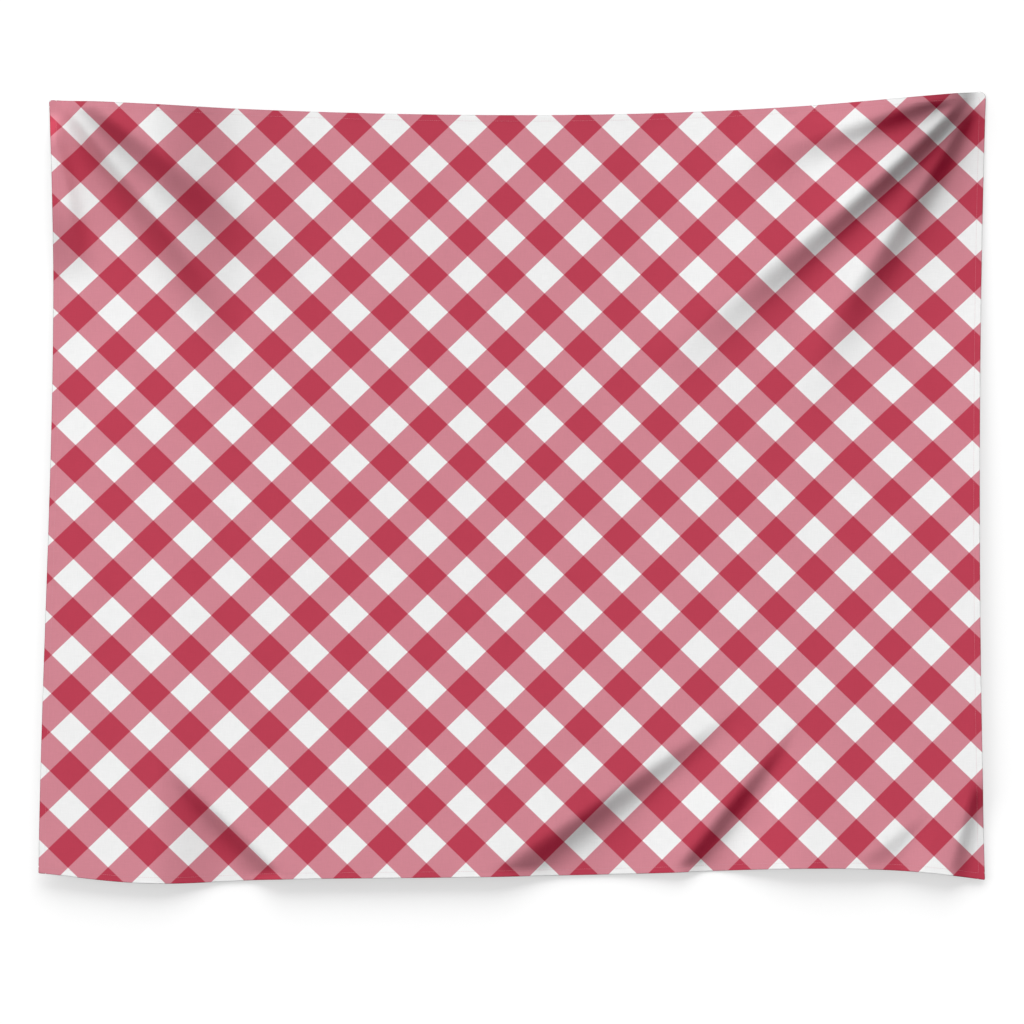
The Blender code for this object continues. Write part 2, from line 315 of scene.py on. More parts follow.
def fold_height(shape, fold, across, down):
    """How far one fold lifts each place. Below its crest it falls by e to minus the square of the
    distance in widths. Its strength is a rise and a fade along the crest, or along the level if the
    crest lies flatter than two in one. The fade and a sunk fold's rise are S-shaped. A raised fold
    rises by a sine, so that it starts as the cone that cloth makes where it is held."""
    start_across = fold.corner[0] * shape.width + fold.start[0]
    start_down = fold.corner[1] * shape.height + fold.start[1]
    run_across = fold.end[0] - fold.start[0]
    run_down = fold.end[1] - fold.start[1]
    length = math.hypot(run_across, run_down)
    way_across = across - start_across
    way_down = down - start_down
    along = (way_across * run_across + way_down * run_down) / length**2
    within = np.clip(along, 0.0, 1.0)
    below = (way_down * run_across - way_across * run_down) / math.copysign(length, run_across)
    below = below - fold.bow * arch(within)
    raised = fold.height > 0.0
    at_start = shape.raised_start if raised else shape.sunk_start
    widening = at_start + 2.0 * (1.0 - at_start) * within
    fall = np.exp(-((np.clip(below, 0.0, None) / (fold.lower * widening)) ** 2))
    if fold.upper is not None:
        fall = fall * np.exp(-((np.clip(below, None, 0.0) / (fold.upper * widening)) ** 2))
    flat = abs(run_across) * 2.0 > abs(run_down)
    part = way_across / run_across + np.zeros_like(along) if flat else along
    if raised:
        strength = np.sin(np.clip(part / fold.rise, 0.0, 1.0) * math.pi / 2)
    else:
        strength = smooth(0.0, fold.rise, part)
        fall = 1.0 - fall
    if fold.fade is not None:
        strength = strength * (1.0 - smooth(fold.fade, 1.0, part))
    return fold.height * strength * fall


def relief(shape, across, down):
    """How far each place stands out from the held corners: the stand-off, which dies out towards
    both, and the sum of the folds. Across a hem's width the relief of its inner edge is kept."""
    inner = shape.hem_width
    across = np.clip(across, inner, shape.width - inner)
    down = np.clip(down, inner, shape.height - inner)
    below = down - inner
    stand_off = shape.stand_off
    freedom = 1.0
    for aside in (across - inner, shape.width - inner - across):
        reach = (aside / shape.reach_across) ** 2 + (below / shape.reach_down) ** 2
        stand_off = stand_off * (1.0 - np.exp(-reach))
        freedom = freedom * (1.0 - np.exp(-((np.hypot(aside, below) / shape.held_reach) ** 2)))
    folds = sum(fold_height(shape, fold, across, down) for fold in FOLDS)
    return stand_off + freedom * folds


def top_edge(shape, s):
    """The sagging top edge as (x, z): a parabola below the line between the corners, made deeper
    towards the right."""
    sag = shape.sag * (1.0 + shape.sag_skew * (2.0 * s - 1.0)) * arch(s)
    return np.stack([shape.width * (s - 0.5), shape.right_rise * (s - 0.5) - sag], axis=-1)


def bottom_edge(shape, s):
    """The wavy bottom edge as (x, z): the line between its corners, less a sine wave, a bell near
    the left and an upturned bell near the right, all dying out at the corners."""
    left = np.array([
        -shape.width / 2 - shape.left_out,
        -shape.right_rise / 2 - shape.height + shape.left_shorter,
    ])
    right = np.array([
        shape.width / 2 - shape.right_in,
        shape.right_rise / 2 - shape.height - shape.right_longer,
    ])
    wave = shape.wave * np.sin(math.tau * s)
    wave = wave + shape.left_drop * bell(s, DROP_AT, DROP_SPREAD)
    wave = wave - shape.right_lift * bell(s, LIFT_AT, LIFT_SPREAD)
    wave = wave * np.tanh(s / BOTTOM_FADE) * np.tanh((1.0 - s) / BOTTOM_FADE)
    edge = between(left, right, s)
    edge[..., 1] -= wave
    return edge


def side_edge(shape, t, end, bow):
    """A side edge as (x, z): the line between its two corners, moved sideways by bow."""
    ends = np.array(float(end))
    edge = between(top_edge(shape, ends), bottom_edge(shape, ends), t)
    edge[..., 0] += bow
    return edge


def in_plane(shape, across, down):
    """Where each place hangs, as (x, z). The four hanging edges are blended across the sheet, less
    the blend of its four corners."""
    s, t = np.broadcast_arrays(across / shape.width, down / shape.height)
    left = side_edge(shape, t, 0, shape.left_bow * high_arch(t))
    right = side_edge(shape, t, 1, -shape.right_bow * arch(t))
    top_line = between(top_edge(shape, np.array(0.0)), top_edge(shape, np.array(1.0)), s)
    bottom_line = between(bottom_edge(shape, np.array(0.0)), bottom_edge(shape, np.array(1.0)), s)
    part_down = t[..., None]
    part_across = s[..., None]
    from_ends = top_edge(shape, s) * (1.0 - part_down) + bottom_edge(shape, s) * part_down
    from_sides = left * (1.0 - part_across) + right * part_across
    return from_ends + from_sides - top_line * (1.0 - part_down) - bottom_line * part_down


def rounded_tip(shape, across, down):
    """Places after the top right tip has sunk: the square of the rounding's size in that corner is
    drawn in to a quarter of a disc, by its larger side over its diagonal."""
    side = np.clip(1.0 - (shape.width - across) / shape.rounding, 0.0, None)
    top = np.clip(1.0 - down / shape.rounding, 0.0, None)
    inside = (side > 0.0) & (top > 0.0)
    diagonal = np.where(inside, np.hypot(side, top), 1.0)
    drawn_in = np.where(inside, np.maximum(side, top) / diagonal, 1.0)
    new_across = shape.width - shape.rounding * (1.0 - side * drawn_in)
    new_down = shape.rounding * (1.0 - top * drawn_in)
    return np.where(inside, new_across, across), np.where(inside, new_down, down)


def middle(shape, across, down):
    """The middle surface of the hung cloth, as (x, y, z)."""
    across, down = np.broadcast_arrays(across, down)
    drawn_across, drawn_down = rounded_tip(shape, across, down)
    plane = in_plane(shape, drawn_across, drawn_down)
    y = MIDDLE_Y - relief(shape, across, down)
    return np.stack([plane[..., 0], y, plane[..., 1]], axis=-1)


def hung(shape, across, down, behind):
    """Places a distance behind the middle of the cloth, along its own normal: the cross product of
    the ways across and down."""
    near = 0.0005
    way_across = middle(shape, across + near, down) - middle(shape, across - near, down)
    way_down = middle(shape, across, down + near) - middle(shape, across, down - near)
    normal = np.cross(way_across, way_down)
    normal /= np.linalg.norm(normal, axis=-1, keepdims=True)
    return middle(shape, across, down) + normal * np.asarray(behind)[..., None]


def bent(factors, x, fall):
    """The sum of the factors times x, fall, x squared, x times fall and fall squared."""
    terms = (x, fall, x**2, x * fall, fall**2)
    return sum(factor * term for factor, term in zip(factors, terms))


def printed(shape, dye, across, down):
    """Where the print's own even grid lies at each place, in metres on the flat print. It is even
    but for three things: its rows open out towards the bottom, its columns lean and spread a
    little, and the cloth is drawn towards its top right corner and the middle of its right edge."""
    plane = in_plane(shape, across, down)
    x = plane[..., 0]
    fall = -plane[..., 1]
    from_edge = x - shape.width / 2
    columns = dye.first_across + bent(COLUMN_FACTORS, x, fall)
    for pull in PULLS:
        aside = from_edge / pull.reach_across
        along = (fall - pull.down) / pull.reach_down
        columns = columns - pull.checks * np.exp(-(aside**2 + along**2))
    rows = dye.first_down + bent(ROW_FACTORS, x, fall)
    return np.stack([columns * dye.pitch_across, rows * dye.pitch_down], axis=-1)


# ---- meshes from grids ----


def grid_faces(rows, columns, close_rows=False, close_columns=False):
    """The quads of a grid of vertices numbered row by row, joined round where it is closed."""
    r = np.arange(rows if close_rows else rows - 1)[:, None]
    c = np.arange(columns if close_columns else columns - 1)[None, :]
    next_r = (r + 1) % rows
    next_c = (c + 1) % columns
    here = r * columns
    below = next_r * columns
    corners = [here + c, here + next_c, below + next_c, below + c]
    return np.stack(np.broadcast_arrays(*corners), axis=-1).reshape(-1, 4)


def pairs(across, down):
    """Both arrays as one array whose last axis is (across, down)."""
    return np.stack(np.broadcast_arrays(across, down), axis=-1)


def volume_of(points, quads):
    """The signed volume inside closed quads: a sixth of the sum, over both triangles of each, of
    the triple product of their corners."""
    a, b, c, d = (points[quads[:, k]] for k in range(4))
    first = np.einsum("ij,ij->i", a, np.cross(b, c))
    second = np.einsum("ij,ij->i", a, np.cross(c, d))
    return (first.sum() + second.sum()) / 6.0


def build_mesh(name, points, quads, print_uv, edge_uv, materials, slots=None):
    """A smooth mesh object from whole arrays, its faces turned to point outwards."""
    points = points.reshape(-1, 3)
    if volume_of(points, quads) < 0.0:
        quads = quads[:, ::-1]
    mesh = bpy.data.meshes.new(name)
    mesh.vertices.add(len(points))
    mesh.vertices.foreach_set("co", points.astype(np.float32).ravel())
    mesh.loops.add(quads.size)
    mesh.loops.foreach_set("vertex_index", quads.astype(np.int32).ravel())
    mesh.polygons.add(len(quads))
    mesh.polygons.foreach_set("loop_start", np.arange(0, quads.size, 4, dtype=np.int32))
    for map_name, places in ((PRINT_MAP, print_uv), (EDGE_MAP, edge_uv)):
        layer = mesh.uv_layers.new(name=map_name)
        places = places.reshape(-1, 2)[quads.ravel()]
        layer.data.foreach_set("uv", places.astype(np.float32).ravel())
    for finish in materials:
        mesh.materials.append(finish)
    mesh.update(calc_edges=True)
    if slots is not None:
        mesh.polygons.foreach_set("material_index", slots.astype(np.int32))
    mesh.validate()
    mesh.shade_smooth()
    mesh.set_sharp_from_angle(angle=SHARP_FROM)
    piece = bpy.data.objects.new(name, mesh)
    bpy.context.scene.collection.objects.link(piece)
    return piece


def hang(piece, node, body=HANGING_BODY):
    """Lets a piece ride on the hanging cloth, or bakes the placing of one that reaches up to the
    held corners into its mesh, and hides the CAD part that it stands for."""
    if body == HANGING_BODY:
        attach(piece, body)
    else:
        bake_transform(piece)
    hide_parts(node)


def grid_lines(shape, length):
    """Places of the cloth's grid lines along one side: its two lips, the inner edges of its two
    hems, and even steps between."""
    inner = shape.hem_width
    count = round((length - 2 * inner) / shape.step)
    even = np.linspace(inner, length - inner, count + 1)
    lip = [shape.lip, (shape.lip + inner) / 2]
    return np.concatenate([lip, even, [length - place for place in reversed(lip)]])


SIDES = {
    "top": lambda shape, run, inward: (run, inward),
    "bottom": lambda shape, run, inward: (run, shape.height - inward),
    "left": lambda shape, run, inward: (inward, run),
    "right": lambda shape, run, inward: (shape.width - inward, run),
}


def side_length(shape, side):
    return shape.width if side in ("top", "bottom") else shape.height


def side_body(side):
    return HANGING_BODY if side == "bottom" else HELD_BODY


# ---- shader maths ----


def math_operator(operation):
    """A Python operator that adds a Math node of that operation."""
    return lambda self, other: self.nodes.maths(operation, self, other)


class Value:
    """A shader socket that adds a Math node for each operator it is used with."""

    def __init__(self, nodes, socket):
        self.nodes = nodes
        self.socket = socket

    __add__ = __radd__ = math_operator("ADD")
    __sub__ = math_operator("SUBTRACT")
    __mul__ = math_operator("MULTIPLY")
    __truediv__ = math_operator("DIVIDE")

    def __rsub__(self, other):
        return self.nodes.maths("SUBTRACT", other, self)

    def __abs__(self):
        return self.nodes.maths("ABSOLUTE", self)


class Nodes:
    """A material's node tree, with one method that adds any node."""

    def __init__(self, name):
        self.material = bpy.data.materials.new(name)
        self.material.use_nodes = True
        self.tree = self.material.node_tree
        self.shader = self.tree.nodes["Principled BSDF"]

    def add(self, kind, settings=None, **inputs):
        """A new node of a kind. Its settings are set first, then each input, by its name with
        underscores for spaces or by its number after "input_", to a number or a link."""
        node = self.tree.nodes.new(kind)
        for name, value in (settings or {}).items():
            setattr(node, name, value)
        for name, value in inputs.items():
            key = int(name[6:]) if name.startswith("input_") else name.replace("_", " ")
            self.feed(node.inputs[key], value)
        return node

    def feed(self, socket, value):
        if isinstance(value, Value):
            self.tree.links.new(value.socket, socket)
        else:
            socket.default_value = value

    def value(self, node, output=0):
        return Value(self, node.outputs[output])

    def maths(self, operation, *values):
        inputs = {f"input_{place}": value for place, value in enumerate(values)}
        return self.value(self.add("ShaderNodeMath", {"operation": operation}, **inputs))

    def ramp(self, value, low, high):
        """0 up to low and 1 from high, with an S curve between."""
        settings = {"interpolation_type": "SMOOTHSTEP"}
        inputs = {"input_0": value, "input_1": low, "input_2": high, "input_3": 0.0, "input_4": 1.0}
        return self.value(self.add("ShaderNodeMapRange", settings, **inputs))

    def mix(self, part, first, second, blend="MIX"):
        """Two colours mixed: first where part is 0 and second where it is 1."""
        settings = {"data_type": "RGBA", "blend_type": blend}
        inputs = {"input_0": part, "input_6": first, "input_7": second}
        return self.value(self.add("ShaderNodeMix", settings, **inputs), 2)

    def uv(self, name):
        """The two coordinates of a UV map, and the map itself as a vector."""
        vector = self.value(self.add("ShaderNodeUVMap", {"uv_map": name}))
        split = self.add("ShaderNodeSeparateXYZ", None, Vector=vector)
        return self.value(split, 0), self.value(split, 1), vector

    def stretched_noise(self, vector, across, down):
        """Noise whose blots are across by down metres large."""
        scaled = self.add("ShaderNodeMapping", {"vector_type": "POINT"}, Vector=vector)
        scaled.inputs["Scale"].default_value = (1.0 / across, 1.0 / down, 1.0)
        place = self.value(scaled)
        flat = {"noise_dimensions": "2D"}
        return self.value(self.add("ShaderNodeTexNoise", flat, Vector=place, Scale=1.0, Detail=2.0))

    def set_surface(self, **inputs):
        """Sets or links inputs of the surface, each by its name with underscores for spaces."""
        for name, value in inputs.items():
            self.feed(self.shader.inputs[name.replace("_", " ")], value)

    def finish(self, base, roughness, height, bump_distance):
        """Links the surface's colour and roughness, and its height as a bump."""
        bump = self.add("ShaderNodeBump", None, Strength=1.0, Distance=bump_distance, Height=height)
        self.set_surface(Base_Color=base, Roughness=roughness, Normal=self.value(bump))
        return self.material


def opaque(rgb):
    return (*rgb, 1.0)


def gingham_colour(nodes, dye, u, v):
    """White, pink and red checks on their points: two sets of stripes cross, each running down one
    diagonal, and a place is pink under one stripe and red under both."""
    softness = dye.bleed / (2.0 * dye.pitch_across)
    masks = []
    for sign in (1.0, -1.0):
        place = u / (2.0 * dye.pitch_across) + v * (sign / (2.0 * dye.pitch_down))
        wrapped = nodes.maths("FRACT", place + 100.0)
        from_stripe = abs(wrapped - 0.5)
        masks.append(1.0 - nodes.ramp(from_stripe, 0.25 - softness, 0.25 + softness))
    both = masks[0] * masks[1]
    either = masks[0] + masks[1] - both
    checks = nodes.mix(either, opaque(dye.white), opaque(dye.pink))
    return nodes.mix(both, checks, opaque(dye.red))


def woven(nodes, dye, u, v, vector):
    """Plain weave: its height, the product of a sine across and a sine down, and a mottle of thick
    and thin threads lying both ways."""
    across = nodes.maths("SINE", u * (math.pi / dye.weave))
    down = nodes.maths("SINE", v * (math.pi / dye.weave))
    lying = nodes.stretched_noise(vector, THREAD_LENGTH, THREAD_WIDTH)
    standing = nodes.stretched_noise(vector, THREAD_WIDTH, THREAD_LENGTH)
    return across * down, (lying + standing) - 1.0


def painted_edge_line(nodes, shape, dye):
    """1 along the sharp fold at the rim of the cloth, where a thin line of painted shade darkens
    the colour, and 0 inside.
    """
    across, down, _ = nodes.uv(EDGE_MAP)
    shade_lines = []
    for place, length in ((across, shape.width), (down, shape.height)):
        from_middle = abs(place - length / 2)
        shade_lines.append(nodes.ramp(from_middle, length / 2 - dye.rim, length / 2))
    return nodes.maths("MAXIMUM", *shade_lines)


def cloth_material(name, shape, dye, reverse=False):
    """Printed woven polyester, with a thin line of painted shade along its folded edge. The reverse
    is unprinted, and a ghost of the print shows through.
    """
    nodes = Nodes(name)
    u, v, vector = nodes.uv(PRINT_MAP)
    weave, threads = woven(nodes, dye, u, v, vector)
    blots = nodes.stretched_noise(vector, BLOT_SIZE, BLOT_SIZE)
    base = gingham_colour(nodes, dye, u, v)
    if reverse:
        base = nodes.mix(dye.ghost, opaque(dye.reverse), base)
    shade = 1.0 + threads * 0.07 + (blots - 0.5) * 0.03
    # Painted shade: the folded edge is darkened into a thin dark line, as shade would fall there.
    shade = shade - painted_edge_line(nodes, shape, dye) * dye.dulling
    grey = nodes.add("ShaderNodeCombineColor", None, Red=shade, Green=shade, Blue=shade)
    base = nodes.mix(1.0, base, nodes.value(grey), "MULTIPLY")
    roughness = 0.86 + threads * 0.06
    height = weave * 0.5 + threads * 0.6
    nodes.set_surface(Specular_IOR_Level=0.18, Sheen_Weight=0.05, Sheen_Roughness=0.55)
    return nodes.finish(base, roughness, height, 0.00012)


def thread_material(name, tint):
    """Twisted polyester thread: fine slanting ridges on a soft sheen."""
    nodes = Nodes(name)
    u, v, vector = nodes.uv(EDGE_MAP)
    twist = nodes.maths("SINE", (u + v) * (math.tau / TWIST_PITCH))
    blots = nodes.stretched_noise(vector, 0.004, 0.004)
    base = nodes.mix(blots, opaque([c * 0.90 for c in tint]), opaque(tint))
    nodes.set_surface(Sheen_Weight=0.2)
    return nodes.finish(base, 0.50 + blots * 0.15, twist, 0.00004)


def satin_material(name, tint):
    """Woven satin tape: long fine ribs with a soft gloss."""
    nodes = Nodes(name)
    _, v, vector = nodes.uv(EDGE_MAP)
    ribs = nodes.maths("SINE", v * (math.tau / RIB_PITCH))
    floats = nodes.stretched_noise(vector, 0.0060, 0.0005)
    base = nodes.mix(floats, opaque([c * 0.93 for c in tint]), opaque(tint))
    nodes.set_surface(Sheen_Weight=0.3)
    return nodes.finish(base, 0.32 + floats * 0.14, ribs * 0.4 + floats, 0.00005)


# ---- the pieces ----


def make_panel(shape, dye, face, reverse):
    """The printed cloth: a front and a back grid, half a ply either side of the middle, joined
    round their rim. The back's faces start one corner later, so that both sides are cut into
    triangles along the same diagonals and nowhere cross."""
    across = grid_lines(shape, shape.width)[None, :]
    down = grid_lines(shape, shape.height)[:, None]
    half = shape.ply / 2
    front = hung(shape, across, down, -half)
    back = hung(shape, across, down, half)[::-1]
    rows, columns = front.shape[:2]
    points = np.concatenate([front, back])
    around = grid_faces(2 * rows, columns, close_rows=True)
    first_back = rows * (columns - 1)
    back_faces = slice(first_back, first_back + (rows - 1) * (columns - 1))
    around[back_faces] = np.roll(around[back_faces], 1, axis=1)
    row = np.arange(rows - 1)
    far_row = 2 * rows - 1 - row
    ends = []
    for column, turn in ((0, 1), (columns - 1, -1)):
        corners = [row, row + 1, far_row - 1, far_row]
        end = np.stack(corners, axis=-1) * columns + column
        ends.append(end[:, ::-turn])
    quads = np.concatenate([around, *ends])
    edge_uv = pairs(across, down)
    print_uv = printed(shape, dye, across, down)
    both_prints = np.concatenate([print_uv, print_uv[::-1]])
    both_edges = np.concatenate([edge_uv, edge_uv[::-1]])
    slots = np.zeros(len(quads))
    slots[back_faces] = 1
    materials = [face, reverse]
    piece = build_mesh("gingham_panel", points, quads, both_prints, both_edges, materials, slots)
    hang(piece, "printed_panel", HELD_BODY)


def hem_profile(shape):
    """A hem's section as a closed loop of (inward, behind, printed): in from the lip on the face,
    half round the folded edge, in along the back, half round the turned edge and back inside.
    Printed is how far inward the same spot lay before it was turned, so it falls below 0 round the
    edge."""
    front = -shape.ply / 2
    back = front + shape.hem_plies * shape.ply
    edge_radius = (back - front) / 2
    turn_radius = shape.ply
    turned_in = shape.hem_width - turn_radius
    angles = np.linspace(-math.pi / 2, math.pi / 2, EDGE_POINTS)
    edge = np.stack([
        edge_radius * (1.0 - np.cos(angles)),
        front + edge_radius * (1.0 + np.sin(angles)),
        edge_radius * (1.0 - (angles + math.pi / 2)),
    ])
    along = np.linspace(edge_radius, turned_in, BACK_POINTS)[1:-1]
    part = (along - edge_radius) / (turned_in - edge_radius)
    puff = shape.ply * HEM_PUFF * np.sin(math.pi * part)
    back_printed = edge_radius * (2.0 - math.pi) - along
    flat = np.stack([along, back + puff, back_printed])
    turn_angles = np.linspace(math.pi / 2, -math.pi / 2, TURN_POINTS)
    turn = np.stack([
        turned_in + turn_radius * np.cos(turn_angles),
        back - turn_radius + turn_radius * np.sin(turn_angles),
        back_printed[-1] - turn_radius * (math.pi / 2 - turn_angles),
    ])
    inside = np.array([[shape.lip], [-front], [shape.lip]])
    lip = np.array([[shape.lip], [front], [shape.lip]])
    return np.concatenate([lip, edge, flat, turn, inside], axis=1)


def ripple(places, pitch, seed):
    """A gentle uneven wave along a hem: three sines of unlike lengths, from -1 to 1."""
    waves = [
        np.sin(places * (math.tau / (pitch * stretch)) + seed * stretch)
        for stretch in RIPPLE_STRETCHES
    ]
    return sum(waves) / len(waves)


def make_hem(shape, dye, side, face, seed):
    """One hem: its section carried along the side between the two corners."""
    inward, behind, turned = (row[None, :] for row in hem_profile(shape))
    length = side_length(shape, side)
    count = round((length - 2 * shape.hem_width) / HEM_STEP)
    run = np.linspace(shape.hem_width, length - shape.hem_width, count + 1)[:, None]
    on_back = behind > shape.ply
    on_turn = (inward > shape.hem_width * TURN_FROM) * on_back
    behind = behind + on_back * ripple(run, BACK_RIPPLE_PITCH, seed) * shape.ply * BACK_RIPPLE
    inward = inward + on_turn * ripple(run, TURN_RIPPLE_PITCH, seed + 1) * TURN_RIPPLE
    across, down = SIDES[side](shape, run, inward)
    points = hung(shape, across, down, behind)
    flat = SIDES[side](shape, run, turned)
    print_uv = printed(shape, dye, *flat)
    quads = closed_tube(*points.shape[:2])
    piece = build_mesh(f"rolled_hem_{side}", points, quads, print_uv, pairs(*flat), [face])
    hang(piece, f"hem_{side}", side_body(side))


def end_caps(rows, columns):
    """Quads that close both ends of a tube whose section has an even number of points: a ladder
    from its first two points to the two opposite."""
    step = np.arange(columns // 2 - 1)
    ladder = np.stack([step, step + 1, columns - 2 - step, columns - 1 - step], axis=-1)
    return np.concatenate([ladder[:, ::-1], ladder + (rows - 1) * columns])


def closed_tube(rows, columns):
    return np.concatenate([grid_faces(rows, columns, close_columns=True), end_caps(rows, columns)])


def bulged_slab(centre, half):
    """A rounded slab as three grids: a superellipsoid, whose places are the signed powers of the
    cosines and sines of a height angle and a turning angle. It ends in two small flat poles."""
    height = np.linspace(-math.pi / 2, math.pi / 2, SLAB_ROWS)[:, None]
    turning = np.linspace(0.0, math.tau, SLAB_COLUMNS, endpoint=False)[None, :]

    def power(wave):
        return np.sign(wave) * np.abs(wave) ** SLAB_SQUARENESS

    ring = power(np.cos(height))
    ring[[0, -1]] = SLAB_POLE
    across = centre[0] + half[0] * ring * power(np.cos(turning))
    down = centre[1] + half[1] * ring * power(np.sin(turning))
    behind = centre[2] + half[2] * power(np.sin(height)) * np.ones_like(turning)
    return across, down, behind


def make_corner(shape, dye, side_across, side_down, face):
    """A corner where two hems cross: two rounded slabs, the second of them the hem that was turned
    last, lying on the first."""
    name = f"{'bottom' if side_down else 'top'}_{'right' if side_across else 'left'}"
    hem = shape.hem_width
    front, first_back = (shape.ply * plies for plies in FIRST_SLAB)
    last_back = -MIDDLE_Y + HELD_CORNER_BOX[1][1]
    first_middle = (hem / 2, hem / 2, (front + first_back) / 2)
    first_half = (hem / 2, hem / 2, (first_back - front) / 2)
    last_middle = (*(hem * part for part in LAST_SLAB_MIDDLE),
                   (first_back + last_back) / 2 - SLAB_OVERLAP)
    last_half = (*(hem * part for part in LAST_SLAB_HALF),
                 (last_back - first_back) / 2 + SLAB_OVERLAP)
    points, prints, edges, quads = [], [], [], []
    for centre, half in ((first_middle, first_half), (last_middle, last_half)):
        inward, downward, behind = bulged_slab(centre, half)
        across = shape.width - inward if side_across else inward
        down = shape.height - downward if side_down else downward
        placed = hung(shape, across, down, behind)
        slab = closed_tube(*placed.shape[:2])
        placed = placed.reshape(-1, 3)
        if volume_of(placed, slab) < 0.0:
            slab = slab[:, ::-1]
        quads.append(slab + sum(len(part) for part in points))
        points.append(placed)
        turned = np.where(behind > shape.ply, -1.0, 1.0)
        flat_across = shape.width - inward * turned if side_across else inward * turned
        flat_down = shape.height - downward * turned if side_down else downward * turned
        prints.append(printed(shape, dye, flat_across, flat_down))
        edges.append(pairs(flat_across, flat_down))
    whole = [np.concatenate(parts) for parts in (points, quads, prints, edges)]
    piece = build_mesh(f"folded_corner_{name}", *whole, [face])
    hang(piece, f"corner_{name}", HANGING_BODY if side_down else HELD_BODY)


def stitch_row(sewing, place, starts, behind, outward):
    """Many stitches at once. Each is a thread of round section whose ends dive into the cloth: its
    height above the surface falls, and its section shrinks, by the sixth power of the distance from
    its middle. Returns the places of all their rings as across, down and behind."""
    along = np.array(STITCH_RINGS)[None, :, None]
    turning = np.linspace(0.0, math.tau, STITCH_SIDES, endpoint=False)[None, None, :]
    girth = sewing.radius * np.sqrt(1.0 - STITCH_TAPER * along**6)
    lift = sewing.radius * (STITCH_LIFT - STITCH_DIVE * along**6)
    run = starts[:, None, None] + along * sewing.length / 2
    aside = girth * np.cos(turning)
    depth = behind + outward * (lift + girth * np.sin(turning))
    run, aside, depth = np.broadcast_arrays(run, aside, depth)
    across, down = place(run, aside)
    return across, down, depth


def stitches_piece(shape, sewing, name, place, starts, behind, outward, thread):
    """One line of stitches as one mesh of small closed tubes."""
    across, down, depth = stitch_row(sewing, place, starts, behind, outward)
    points = hung(shape, across, down, depth)
    count, rings, sides = points.shape[:3]
    one = closed_tube(rings, sides)
    if volume_of(points[0].reshape(-1, 3), one) < 0.0:
        one = one[:, ::-1]
    firsts = np.arange(count)[:, None, None] * rings * sides
    quads = (one[None] + firsts).reshape(-1, 4)
    places = pairs(across, down)
    return build_mesh(name, points, quads, places, places, [thread])


def hem_surface(shape, outward):
    """How far behind the middle the cloth's surface lies at the stitches: on the face, outward is
    -1, and on the back of the hem it is 1."""
    if outward < 0:
        return -shape.ply / 2
    return shape.ply * (shape.hem_plies - 0.5)


def make_stitches(shape, sewing, side, outward, thread):
    """The needle stitches on the face, or the bobbin stitches on the back, of one hem."""
    length = side_length(shape, side)
    margin = sewing.inset if outward < 0 else shape.hem_width + sewing.pitch / 2
    count = int((length - 2 * margin) / sewing.pitch)
    shift = 0.0 if outward < 0 else BOBBIN_SHIFT
    starts = length / 2 + (np.arange(count) - (count - 1) / 2 + shift) * sewing.pitch

    def place(run, aside):
        return SIDES[side](shape, run, sewing.inset + aside)

    kind = "needle" if outward < 0 else "bobbin"
    piece = stitches_piece(
        shape, sewing, f"{kind}_stitches_{side}", place, starts,
        hem_surface(shape, outward), outward, thread,
    )
    hang(piece, f"{kind}_thread_{side}", side_body(side))


def make_label(shape, sewing, satin):
    """A blank label of folded satin tape: a closed loop of two layers that runs out from under the
    hem and lifts a little towards its fold. The loop has an even number of points, as its caps
    need."""
    steps_out, fold_steps, rows = 26, 7, 15
    end_lift = 0.0022
    bulge = 0.00035
    fold_reach = 1.6 * LABEL_LAYER
    edge_curl = 0.0006
    under_hem = 0.0005
    length = sewing.label_length
    out = np.linspace(0.0, 1.0, steps_out)
    angles = np.linspace(-math.pi / 2, math.pi / 2, fold_steps)[2:-1]
    lift = end_lift * out**2
    upper_gap = LABEL_LAYER * 2 + bulge * np.sin(math.pi * out**2)
    lower = np.stack([out * length, lift])
    fold = np.stack([
        length + fold_reach * np.cos(angles),
        lift[-1] + LABEL_LAYER + LABEL_LAYER * np.sin(angles),
    ])
    upper = np.stack([out * length, lift + upper_gap])[:, ::-1]
    loop = np.concatenate([lower, fold, upper], axis=1)
    wide = np.linspace(-sewing.label_width / 2, sewing.label_width / 2, rows)[:, None]
    across = shape.hem_width - under_hem + loop[0][None, :]
    curl = edge_curl * (wide / sewing.label_width * 2.0) ** 2
    down = sewing.label_down + wide
    surface = shape.ply / 2 + LABEL_CLEAR
    behind = surface + loop[1][None, :] + curl * (loop[0][None, :] / length)
    points = hung(shape, across, down, behind)
    places = pairs(across, down)
    quads = closed_tube(*points.shape[:2])
    piece = build_mesh("satin_label", points, quads, places, places, [satin])
    hang(piece, "care_label")


def make_label_stitches(shape, sewing, thread):
    """A row of stitches that sews the label down beside the hem."""
    column = shape.hem_width + LABEL_STITCH_INSET
    count = int(sewing.label_width / sewing.pitch)
    starts = sewing.label_down + (np.arange(count) - (count - 1) / 2) * sewing.pitch

    def place(run, aside):
        return column + aside, run

    clear = 0.00002
    surface = shape.ply / 2 + LABEL_CLEAR + LABEL_LAYER * 2 + clear
    piece = stitches_piece(shape, sewing, "label_stitches", place, starts, surface, 1.0, thread)
    hang(piece, "label_thread")


def flat_rectangle(name, corners, material):
    """One plain rectangle of the stage, whose face looks the way its corners turn."""
    mesh = bpy.data.meshes.new(name)
    mesh.from_pydata(corners, [], [(0, 1, 2, 3)])
    mesh.materials.append(material)
    piece = bpy.data.objects.new(name, mesh)
    bpy.context.scene.collection.objects.link(piece)
    return piece


